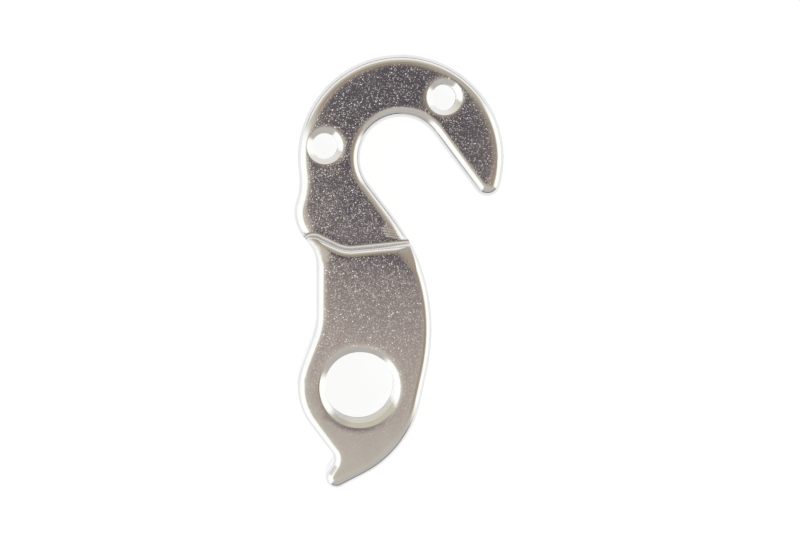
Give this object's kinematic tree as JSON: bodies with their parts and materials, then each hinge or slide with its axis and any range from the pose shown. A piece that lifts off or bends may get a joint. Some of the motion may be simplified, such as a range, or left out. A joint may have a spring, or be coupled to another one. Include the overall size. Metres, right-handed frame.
{
  "type": "bicycle derailleur hanger",
  "caption": "Flat hook-shaped aluminium plate that hangs a rear derailleur below the wheel axle, with a slot for the axle, a stepped pad with a large thread, and a small stop nose.",
  "frame": {"origin": "where the axis of the derailleur thread meets the plane of the dropout seat", "axes": "+X forward on the bicycle, +Y up, +Z outboard along the derailleur thread, towards the derailleur"},
  "size_m": [0.0268, 0.055, 0.0075],
  "materials": {
    "aluminium": "bright satin with a fine blasted grain"
  },
  "bodies": {
    "root": {"derailleur_hanger": "aluminium"}
  },
  "joints": []
}
